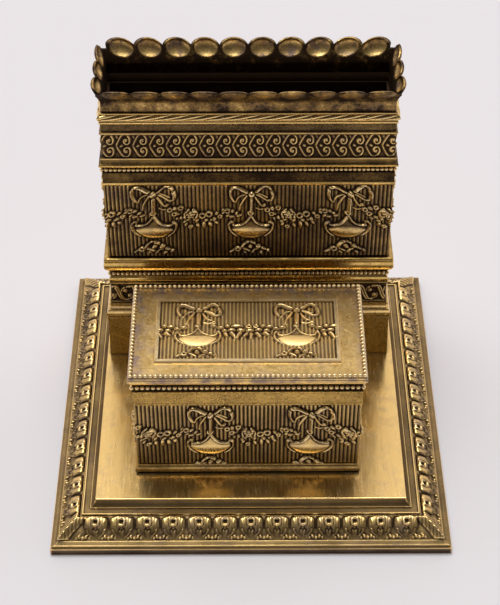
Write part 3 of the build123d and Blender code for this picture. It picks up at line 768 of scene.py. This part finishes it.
def aged_brass(name, bright=GOLD, mid=BRONZE, dark=UMBER, darkening=0.0, tarnish=0.45, gloss=0.2, pits=0.02,
               reach=1.3, brushed=(1, 1, 1), mottle=0.12, speckle=1.6, blotch=0.0, rubbed_and_glint=0.8, edge_wear_and_glint=0.3,
               edge_glint_width=0.45, blunt=0.75, shade_below=None, edge_below=None, rim=None):
    """Old gilt brass: pale on its crests from rubbing and a painted highlight, brown in the hollows, darker in
    its corners from painted shade and grimy build-up, with patches of violet tarnish and fine scratches.
    darkening makes all of it darker, lighter below 0, reach is how wide the corner darkening is, mottle and
    speckle are how strong and how fine its speckles are, blotch is how uneven its patches are,
    rubbed_and_glint is how pale its crests are, and edge_wear_and_glint is how bright its outer edges are
    from wearing and a painted highlight, over edge_glint_width, blunter ones too with a higher blunt. Below
    shade_below it is painted browner and darker as shade and below edge_below more tarnished, both in
    millimetres, and rim is a plan whose border is tarnished."""
    n = Nodes(bpy.data.materials.new(name))
    relief = n.add("ShaderNodeAttribute", attribute_name="patina_and_painted_light").outputs["Fac"]
    # Darker in corners, from ambient occlusion: painted shade, with grimy build-up.
    corner_shade = n.span(n.openness(reach), 0.3, 0.9, 1.0, 0.0)
    outer_edge = n.span(n.openness(edge_glint_width, inside=True), blunt - 0.5, blunt, 1.0, 0.0)
    cloud = n.noise(0.07, 4.0)
    patch = n.noise(0.16, 5.0, 0.65)
    grain = n.noise(speckle, 4.0, 0.6)
    scratch = n.noise(1.1, 3.0, 0.5, stretch=brushed)
    dirt_and_shade = n.total(relief, n.math("MULTIPLY", corner_shade, 0.75), n.span(grain, 0.3, 0.72, -mottle, mottle),
                   n.span(cloud, 0.35, 0.7, darkening - 0.06, darkening + 0.10),
                   n.span(patch, 0.35, 0.65, -blotch, blotch))
    # Painted shade: darker below a height.
    if shade_below is not None:
        dirt_and_shade = n.total(dirt_and_shade, n.below(shade_below, 0.3, 0.6))
    # Outer edges lighter: a painted highlight, with edge wearing.
    dirt_and_shade = n.math("SUBTRACT", dirt_and_shade, n.math("MULTIPLY", outer_edge, edge_wear_and_glint))
    violet = n.math("MULTIPLY", n.span(patch, 0.48, 0.68), tarnish)
    if edge_below is not None:
        violet = n.math("MAXIMUM", violet, n.below(edge_below, 0.4, 0.55))
    if rim is not None:
        for axis, middle, half in zip("XY", rim.middle, rim.half):
            place = n.axes(n.coordinates["Object"])[axis]
            away = n.math("ABSOLUTE", n.math("SUBTRACT", place, middle * MM))
            border = n.span(away, (half - 7.5) * MM, (half - 2.0) * MM)
            patchy = n.math("MULTIPLY", border, n.span(patch, 0.38, 0.58, 0.1, 0.9))
            violet = n.math("MAXIMUM", violet, patchy)
    metal = n.mix(n.span(dirt_and_shade, 0.05, 0.45), bright, mid)
    # Crests mixed towards a pale colour: a painted highlight, with the paleness of rubbing.
    metal = n.mix(n.span(relief, -0.45, -0.05, rubbed_and_glint, 0.0), metal, RUBBED_AND_GLINT)
    stained = n.mix(violet, metal, VIOLET)
    colour = n.mix(n.span(dirt_and_shade, 0.3, 0.85), stained, dark)
    rough = n.math("ADD", n.span(dirt_and_shade, 0.0, 1.0, gloss, 0.6), n.span(patch, 0.4, 0.7, 0.0, 0.08))
    rough = n.math("ADD", rough, n.span(scratch, 0.35, 0.7, -0.03, 0.05), clamp=True)
    dented = n.bump(n.noise(0.22, 3.0, stretch=brushed), 0.10, 0.5)
    pitted = n.bump(n.math("ADD", grain, scratch), pits, 0.6, dented)
    return n.finish({"Base Color": colour, "Roughness": rough, "Metallic": 1.0, "Normal": pitted})


def clear_glass():
    """Old pressed glass, with a faint green tint and slight waves."""
    n = Nodes(bpy.data.materials.new("pressed_glass"))
    tint = n.mix(n.noise(0.05), (0.90, 0.96, 0.93), (0.95, 0.97, 0.95))
    rough = n.span(n.noise(0.8, 4.0), 0.4, 0.8, 0.02, 0.10)
    waves = n.bump(n.noise(0.12, 2.0), 0.15, 0.4)
    return n.finish({"Base Color": tint, "Roughness": rough, "Normal": waves, "Transmission Weight": 1.0,
                     "IOR": 1.51})


def old_steel():
    """Darkened steel of the screws and the hinge pin."""
    n = Nodes(bpy.data.materials.new("old_steel"))
    spots = n.noise(0.9, 5.0, 0.65)
    rusty = n.mix(n.span(spots, 0.4, 0.7), (0.34, 0.31, 0.28), (0.12, 0.07, 0.04))
    rough, pitted = n.span(spots, 0.3, 0.8, 0.3, 0.7), n.bump(spots, 0.03, 0.6)
    return n.finish({"Base Color": rusty, "Roughness": rough, "Metallic": 1.0, "Normal": pitted})


# ---- dressing


def dress(piece, material, body, stands_for=()):
    """Gives a new piece its material, slot and body, and hides the nodes it stands for."""
    piece.data.materials.append(material)
    if stands_for:
        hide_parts(*stands_for)
    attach(piece, body)
    return piece


BEVEL_SEGMENTS = 2
SHARP_ANGLE = 32


def finish_node(node, material, bevel):
    """Gives a CAD node that stays its own material, with its sharp edges rounded a little."""
    piece = NODES[node]
    for slot in piece.material_slots:
        slot.material = material
    if not piece.material_slots:
        piece.data.materials.append(material)
    if bevel:
        rounding = piece.modifiers.new("rounded edges", "BEVEL")
        rounding.width = bevel * MM
        rounding.segments = BEVEL_SEGMENTS
        rounding.limit_method = "ANGLE"
        rounding.angle_limit = math.radians(SHARP_ANGLE)
        rounding.harden_normals = True


RACK_RELIEF = aged_brass("rack_relief_brass", darkening=0.08, gloss=0.24, pits=0.03, blotch=0.08)
BOX_RELIEF = aged_brass("box_relief_brass", darkening=0.03, gloss=0.26, pits=0.03)
LID_RELIEF = aged_brass("lid_relief_brass", bright=(0.84, 0.58, 0.23), rubbed_and_glint=0.3, gloss=0.36, tarnish=0.3,
                        mottle=0.06)
FRIEZE = aged_brass("frieze_brass", darkening=0.18, gloss=0.26, pits=0.03)
BORDER = aged_brass("border_brass", darkening=0.04, gloss=0.28, pits=0.03)
ROPE = aged_brass("rope_brass", darkening=-0.02, gloss=0.24, pits=0.03, tarnish=0.2)
PLAIN = aged_brass("plain_brass", bright=(0.94, 0.64, 0.20), mid=(0.46, 0.29, 0.085), darkening=0.14, gloss=0.18,
                   tarnish=0.15, blotch=0.08)
# Painted shadow: darker along its foot, where it stands on the base.
PLINTH = aged_brass("plinth_brass", mid=(0.40, 0.25, 0.07), darkening=0.36, gloss=0.22, tarnish=0.3, blotch=0.06,
                    edge_wear_and_glint=0.1, shade_below=foot_of("box_plinth") + 1.2)
# Painted shade: wide darkening round the feet of the rack and the box, and darker sides below the top. Its
# edges are bright from wearing and a painted highlight.
BASE_BRASS = aged_brass("base_brass", darkening=-0.04, tarnish=0.3, reach=5.0, brushed=(1, 0.1, 1),
                        mottle=0.05, edge_wear_and_glint=1.1, edge_glint_width=0.7, blunt=0.97, edge_below=3.4,
                        shade_below=box_mm("base_casting")[1][2] - 0.1)
LID_BRASS = aged_brass("lid_brass", darkening=0.02, gloss=0.30, tarnish=0.5, mottle=0.11, speckle=1.1, pits=0.01,
                       blotch=0.17, edge_wear_and_glint=0.4, edge_glint_width=0.6, blunt=0.95, rim=LID_CLEAN)
# Paler and brighter than the other brass and little darkened in corners: painted light against the shade of the
# mouldings over the beads.
BEADS = aged_brass("bead_brass", bright=(1.0, 0.78, 0.42), darkening=-0.25, gloss=0.3, tarnish=0.1, reach=0.7,
                   mottle=0.04)
GALLERY = aged_brass("gallery_brass", mid=(0.46, 0.29, 0.10), darkening=0.18, gloss=0.26, tarnish=0.9,
                     mottle=0.16, blotch=0.24)
MATTED = aged_brass("matted_brass", bright=(0.88, 0.58, 0.17), mid=(0.40, 0.25, 0.07), darkening=0.28, gloss=0.38,
                    tarnish=0.1, pits=0.08, mottle=0.32, speckle=2.2)
# Near-black brass for the liner, the divider and the foot and floor plates: painted shade, where the inside of
# the rack and the box lies in shade.
SHADED_INTERIOR = aged_brass("shaded_interior_brass", dark=(0.075, 0.042, 0.026), darkening=0.85, gloss=0.55, tarnish=0.8,
                       pits=0.05, edge_wear_and_glint=0.0)
GLASS = clear_glass()
STEEL = old_steel()


# ---- the rack


RELIEF_STEP = 0.25

# Profiles of the bands: corners from low to high, (out from the panels' faces, up from the node's foot).
SCROLL_PROFILE = [(1.0, 0.0), (1.0, 0.9), (0.25, 1.1), (0.15, 10.5), (0.9, 10.7), (0.9, 11.5)]
LOWER_PROFILE = [
    (0.2, 0.0), *arc((0.4, 0.1), (0.4, 2.6), 0.5), (0.0, 3.1), (-0.1, 6.5), (0.9, 6.7),
    *arc((0.9, 6.8), (2.3, 12.2), 0.9, 11), (2.4, 12.5), (2.4, 13.6),
]
UPPER_PROFILE = [
    (0.7, 0.0), (0.7, 1.0), (0.3, 1.3), (0.3, 5.8), (-0.4, 6.1), (-0.4, 9.1),
    *arc((1.0, 9.2), (1.2, 10.6), 0.3), (0.4, 10.8), (0.3, 12.4),
]
HEART_PROFILE = [(0.5, 0.0), (0.5, 0.9), (-0.3, 1.1), (-0.4, 12.1), (0.3, 12.3), (0.3, 13.1)]
ROPE_PROFILE = [
    (-0.5, 0.0), (-0.5, 3.8), *arc((-0.1, 4.0), (-0.1, 5.2), 0.35, 5),
    *arc((-0.4, 5.4), (-0.4, 8.5), 1.2, 13), (-0.1, 8.6), (-0.2, 9.0),
]
NECK_PROFILE = [(0.8, 0.0), (0.8, 0.7), (0.5, 0.9), (0.5, 6.7), (0.9, 6.9), (0.9, 7.6)]
RIM_PROFILE = [(0.3, 0.0), (0.2, 4.2), (1.0, 4.4), (1.1, 4.7), (1.0, 5.4)]

# Heights for the relief's tone: darker below ground, and above crest pale from rubbing and a painted highlight.
FRIEZE_WEAR_AND_GLINT = dict(ground=0.1, crest=1.0)
ROPE_WEAR_AND_GLINT = dict(ground=-0.5, crest=-0.02, deep=0.4)
STIPPLE_WEAR_AND_GLINT = dict(ground=-0.7, crest=0.05, deep=0.3)

# Strips of the bands that are darker or, below 0, brighter: from and to, up the face, and by how much.
SCROLL_TONE_STRIPS = ((-0.5, 0.9, -0.4), (11.8, 13.5, -0.4))
LOWER_TONE_STRIPS = ((3.4, 7.2, 0.5),)
UPPER_TONE_STRIPS = ((1.3, 9.9, 0.65), (12.4, 15.0, 0.5))
HEART_TONE_STRIPS = ((-0.5, 0.9, -0.5), (13.4, 15.0, -0.5))
ROPE_TONE_STRIPS = ((-0.5, 3.7, 0.75), (12.0, 16.0, 0.1))
RIM_TONE_STRIPS = ((-0.5, 4.4, 0.6),)


def panels(part, plan, wall, material, firsts, **strip):
    """The four reeded panels of the rack or the box, each cut from the strip at its own place."""
    low, high = (corner[2] for corner in box_mm(f"{part}_front_panel"))
    for side in SIDES:
        relief = garland_strip(firsts.get(side, 0.0), **strip)
        node = f"{part}_{side}_panel"
        piece = band(f"{node}_relief", plan, [(0, low), (0, high)], wall, relief, RELIEF_STEP, (side,))
        dress(piece, material, "stand", (node,))


def moulding(node, plan, wall, profile, relief, material, tone_strips=(), wear_and_glint=None, step=RELIEF_STEP):
    """A band that stands in for a node, with its profile from that node's foot."""
    foot = foot_of(node)
    corners = [(out, foot + up) for out, up in profile]
    piece = band(f"{node}_relief", plan, corners, wall, relief, step, tone_strips=tone_strips, wear_and_glint=wear_and_glint)
    dress(piece, material, "stand", (node,))


def rack_bands():
    """The rack's mouldings and friezes from the plinth's top to the rope."""
    for node, profile, relief, material, tone_strips, wear_and_glint in (
        ("rack_scroll_frieze", SCROLL_PROFILE, scroll_frieze, FRIEZE, SCROLL_TONE_STRIPS, FRIEZE_WEAR_AND_GLINT),
        ("rack_lower_beading", LOWER_PROFILE, None, PLAIN, LOWER_TONE_STRIPS, None),
        ("rack_upper_beading", UPPER_PROFILE, None, PLAIN, UPPER_TONE_STRIPS, None),
        ("rack_heart_frieze", HEART_PROFILE, heart_frieze, FRIEZE, HEART_TONE_STRIPS, FRIEZE_WEAR_AND_GLINT),
        ("rack_rope_moulding", ROPE_PROFILE, rope_twist, ROPE, ROPE_TONE_STRIPS, ROPE_WEAR_AND_GLINT),
    ):
        moulding(node, RACK, RACK_WALL, profile, relief, material, tone_strips, wear_and_glint)


GALLERY_WALL = 0.8
GALLERY_STEP = 0.3
GALLERY_ROWS = 40
GALLERY_BEND_FROM = 4.4
NOTCH = 3.4
LOBE_HALF_WIDTH = 5.0
LOBE_HALF_HEIGHT = 3.1
LOBE_DEPTH = 1.5
LONG_LOBES = (10, 11.4)
SHORT_LOBES = (3, 10.8)


def gallery_side(plan, reach, side, low, top):
    """One side of the gallery, its points from the foot of its face over the top to the foot of its back, and
    the patina_and_painted_light value of each."""
    half_n, half_t = plan.halves(side)
    reach_n, reach_t = reach.halves(side)
    lobes, pitch = SHORT_LOBES if side in ("left", "right") else LONG_LOBES
    flare, spread = reach_n - half_n, reach_t - half_t
    cols = np.linspace(-1, 1, round(2 * half_t / GALLERY_STEP) + 1)
    wide = cols * (half_t + 0.8 * spread)
    x = (wide / pitch + lobes / 2) % 1 - 0.5
    inside = np.abs(wide) < lobes * pitch / 2
    cut = np.where(inside, 1 - np.sqrt(np.clip(1 - (1.9 * x) ** 2, 0, 1)), 1.0)
    z = np.linspace(0, 1, GALLERY_ROWS)[:, None] * (top - np.minimum(cut, 1.0) * NOTCH)
    bend = np.clip((z - GALLERY_BEND_FROM) / (top - GALLERY_BEND_FROM), 0, 1) ** 1.35
    far = np.hypot(x * pitch / LOBE_HALF_WIDTH, (z - (top - LOBE_HALF_HEIGHT)) / LOBE_HALF_HEIGHT)
    spoon = LOBE_DEPTH * np.clip(1 - far**2, 0, 1) ** 0.8 * inside
    face, behind = (
        plan.places(side, flare * bend + spoon * press + back,
                    cols * (half_t + spread * bend + back), low + z)
        for back, press in ((0.0, 1.0), (-GALLERY_WALL, 1.1))
    )
    # The face is darker away from the spoons on its upper part. The back is painted darker away from the spoons
    # below its top edge: painted shade inside the rack.
    valley = 1 - step_up(spoon / 0.45)
    outside = 0.42 + 0.2 * valley * step_up((z - 4.0) / 2.0)
    inner = 0.62 * valley * step_up((top - z - 0.8) / 1.5) + 0.14
    return np.vstack([face, behind[::-1]]), np.vstack([outside, inner[::-1]])


def gallery():
    """The scalloped gallery: a wall that flares outwards and ends in round lobes, each pressed to a spoon."""
    low, high = box_mm("rack_gallery")
    plan = Plan(*box_mm("rack_front_panel", "rack_back_panel"), inset=1.0)
    parts = [gallery_side(plan, Plan(low, high), side, low[2], high[2] - low[2]) for side in SIDES]
    dress(ring_mesh("rack_gallery_relief", parts), GALLERY, "stand", ("rack_gallery",))


# ---- beads


BEAD_SQUASH = 0.9
BEAD_RINGS = 7
BEAD_SPOKES = 12


def bead_mesh(radius):
    """A bead's points, quads and end caps."""
    polar = np.linspace(0, math.pi, BEAD_RINGS + 2)[1:-1]
    turns = np.linspace(0, 2 * math.pi, BEAD_SPOKES, endpoint=False)
    rings = [(math.sin(a) * math.cos(b), math.sin(a) * math.sin(b), math.cos(a))
             for a in polar for b in turns]
    points = np.array([(0, 0, 1), *rings, (0, 0, -1)]) * radius * np.array([1, 1, BEAD_SQUASH])
    quads = grid_quads(BEAD_RINGS, BEAD_SPOKES, False, True)[:, ::-1] + 1
    last, foot = len(points) - 1, 1 + (BEAD_RINGS - 1) * BEAD_SPOKES
    caps = []
    for k in range(BEAD_SPOKES):
        following = (k + 1) % BEAD_SPOKES
        caps += [(0, 1 + k, 1 + following), (last, foot + following, foot + k)]
    return points, quads, caps


def beads(name, plan, node, out, up, radius, pitch, body):
    """A row of beads round a plan, their middles out from its faces and up from the foot of their node."""
    ball, quads, caps = bead_mesh(radius)
    half_x, half_y = plan.half[0] + out, plan.half[1] + out
    across, deep = round(2 * half_x / pitch), round(2 * half_y / pitch)
    places = []
    for k in range(across):
        x = -half_x + 2 * half_x * k / across
        places += [(x, -half_y), (-x, half_y)]
    for k in range(deep):
        y = -half_y + 2 * half_y * k / deep
        places += [(half_x, y), (-half_x, -y)]
    middle = np.array([*plan.middle, foot_of(node) + up])
    points = np.vstack([ball + middle + np.array([x, y, 0]) for x, y in places])
    all_quads = np.vstack([quads + len(ball) * k for k in range(len(places))])
    all_caps = [tuple(i + len(ball) * k for i in cap) for k in range(len(places)) for cap in caps]
    return dress(to_mesh(name, points, all_quads, all_caps), BEADS, body)


# ---- the ink box and its lid


def box_bands():
    """The matted band and the rim of the ink box."""
    moulding("box_neck_band", BOX, BOX_WALL, NECK_PROFILE, stipple, MATTED, wear_and_glint=STIPPLE_WEAR_AND_GLINT)
    moulding("box_rim_beading", BOX, BOX_WALL, RIM_PROFILE, None, PLAIN, RIM_TONE_STRIPS, step=0.4)


LID_LIFT = 0.05
LID_BACK_SHADE = 0.8


def lid_relief():
    """The reeded plate in the lid, cut from the strip between two urns."""
    low, high = box_mm("lid_panel")
    plan = Plan(low, high)
    half_x, half_y = plan.half
    cols = np.linspace(-half_x, half_x, round(2 * half_x / RELIEF_STEP) + 1)
    rows = np.linspace(0, 2 * half_y, round(2 * half_y / RELIEF_STEP) + 1)
    t, s = np.meshgrid(cols, rows)
    relief = garland_strip(-REPEAT / 2, low=-0.4, pitch=1.5, depth=0.45, cover_height=0.5, squeeze=0.84,
                           margin=0.5, plump=True)
    h = relief(t, s, half_x - np.abs(t) + 0.4)
    x, y = plan.middle[0] + t, low[1] + s
    face = np.stack([x, y, high[2] + LID_LIFT + h], -1)
    flat = np.zeros((2, len(cols)))
    under = np.stack([x[[-1, 0]], y[[-1, 0]], flat + low[2]], -1)
    shade = np.vstack([patina_and_glint_of(h, ground=-0.5, crest=1.4, deep=0.5), flat + LID_BACK_SHADE])
    piece = strip_mesh("lid_panel_relief", np.vstack([face, under]), shade)
    dress(piece, LID_RELIEF, "lid", ("lid_panel",))


# ---- the base


BORDER_STEP = 0.3
BORDER_SLOPE = [(-3.3, 4.85), *arc((-3.5, 5.0), (-11.4, 9.7), 0.55, 12), (-11.7, 9.7)]
BORDER_BACK = [(-3.6, 4.4), (-11.6, 9.0)]
# Heights for the border's tone: above crest pale from rubbing and a painted highlight.
BORDER_WEAR_AND_GLINT = dict(ground=0.3, crest=1.7)


def base_border():
    """The leaf and dart border, laid over the base's slope."""
    section = Section(BORDER_SLOPE, BORDER_STEP)
    parts = [side_points(BASE, side, section, leaf_border, BORDER_BACK, BORDER_STEP, wear_and_glint=BORDER_WEAR_AND_GLINT)
             for side in SIDES]
    dress(ring_mesh("base_leaf_border", parts), BORDER, "stand")


# ---- the studio


def floor_material():
    """Pale paper."""
    n = Nodes(bpy.data.materials.new("pale_paper"))
    paper = n.mix(n.noise(0.004, 2.0), (0.74, 0.72, 0.73), (0.76, 0.74, 0.75))
    return n.finish({"Base Color": paper, "Roughness": 0.9})


FLOOR_HALF = 6.0


def studio_floor():
    """A plain pale floor under the object."""
    mesh = bpy.data.meshes.new("floor")
    square = ((-1, -1), (1, -1), (1, 1), (-1, 1))
    mesh.from_pydata([(x * FLOOR_HALF, y * FLOOR_HALF, cad_box[0][2]) for x, y in square], [], [(0, 1, 2, 3)])
    floor = new_object("floor", mesh)
    floor.data.materials.append(floor_material())


DIM_ROOM = (0.045, 0.04, 0.038)
PAPER_SWEEP = (0.86, 0.80, 0.82)
SWEEP = (-0.15, 0.35, 0.0, 1.0)
HORIZON = (0.10, 0.42, 1.0, 0.0)


def studio_world():
    """A pale paper sweep behind the object and a dim room in front of it, pale again along the horizon."""
    n = Nodes(bpy.data.worlds.new("studio"), "Background")
    direction = n.axes(n.coordinates["Generated"])
    sweep = n.span(direction["Y"], *SWEEP, "SMOOTHSTEP")
    horizon = n.span(direction["Z"], *HORIZON, "SMOOTHSTEP")
    colour = n.mix(n.math("MAXIMUM", sweep, horizon), DIM_ROOM, PAPER_SWEEP)
    bpy.context.scene.world = n.finish({"Color": colour})


SOFTBOX_ENERGY = 2.1
SOFTBOX_ANGLE = 40
SOFTBOX_TILT = (-8, -5, 0)


def studio_lights():
    """One very large softbox overhead."""
    data = bpy.data.lights.new("softbox", "SUN")
    data.energy = SOFTBOX_ENERGY
    data.angle = math.radians(SOFTBOX_ANGLE)
    softbox = new_object("softbox", data)
    softbox.rotation_euler = [math.radians(angle) for angle in SOFTBOX_TILT]


CAMERA_LENS = 93.4
CAMERA_DOWN = 43.3
CAMERA_TURN = 0.29
CAMERA_DISTANCE = 0.6928
AIM_SIDE = 0.00015
AIM_HEIGHT = 0.028


def studio_camera():
    """The camera looks down at the middle of the rack from in front."""
    data = bpy.data.cameras.new("camera")
    data.lens = CAMERA_LENS
    camera = new_object("camera", data)
    down, turn = math.radians(CAMERA_DOWN), math.radians(CAMERA_TURN)
    look = Vector((math.sin(turn) * math.cos(down), math.cos(turn) * math.cos(down), -math.sin(down)))
    aim = Vector((AIM_SIDE, RACK.middle[1] * MM, AIM_HEIGHT))
    camera.location = aim - look * CAMERA_DISTANCE
    camera.rotation_euler = look.to_track_quat("-Z", "Y").to_euler()
    bpy.context.scene.camera = camera


# ---- everything

studio_floor()
studio_world()
studio_lights()
studio_camera()
bpy.context.scene.view_settings.view_transform = "Standard"

panels("rack", RACK, RACK_WALL, RACK_RELIEF, {"front": 0.9}, low=-1.7, pitch=1.63, depth=0.42,
       cover_height=0.6)
rack_bands()
gallery()
beads("rack_lower_beads", RACK, "rack_lower_beading", out=0.55, up=4.9, radius=0.8, pitch=1.85, body="stand")
beads("rack_upper_beads", RACK, "rack_upper_beading", out=0.35, up=7.6, radius=0.8, pitch=1.8, body="stand")
panels("box", BOX, BOX_WALL, BOX_RELIEF, {"front": -14.6, "back": -19.5}, low=2.8, pitch=1.6, depth=0.5,
       cover_height=1.5)
box_bands()
beads("box_rim_beads", BOX, "box_rim_beading", out=0.6, up=2.2, radius=0.85, pitch=2.1, body="stand")
lid_relief()
lid_beads = beads("lid_beads", Plan(*box_mm("lid_beading")), "lid_beading", out=-0.9, up=0.55, radius=0.85,
                  pitch=1.98, body="lid")
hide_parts("lid_beading")
base_border()

# The CAD nodes that stay, with the width of their rounded edges.
for node, material, bevel in (
    ("base_casting", BASE_BRASS, 0.3), ("rack_plinth", PLAIN, 0.25),
    ("rack_foot_moulding", RACK_RELIEF, 0.12), ("rack_liner", SHADED_INTERIOR, 0.1),
    ("rack_foot_plate", SHADED_INTERIOR, 0.0), ("box_plinth", PLINTH, 0.12), ("box_floor_plate", SHADED_INTERIOR, 0.0),
    ("box_divider", SHADED_INTERIOR, 0.15), ("lid_frame", LID_BRASS, 0.15), ("lid_panel_border", BEADS, 0.15),
    ("hinge_leaf_box", PLAIN, 0.08), ("hinge_leaf_lid", PLAIN, 0.08), ("hinge_pin", STEEL, 0.0),
    ("rack_screws", STEEL, 0.1), ("box_screws", STEEL, 0.1), ("glass_well_left", GLASS, 0.0),
    ("glass_well_right", GLASS, 0.0),
):
    finish_node(node, material, bevel)
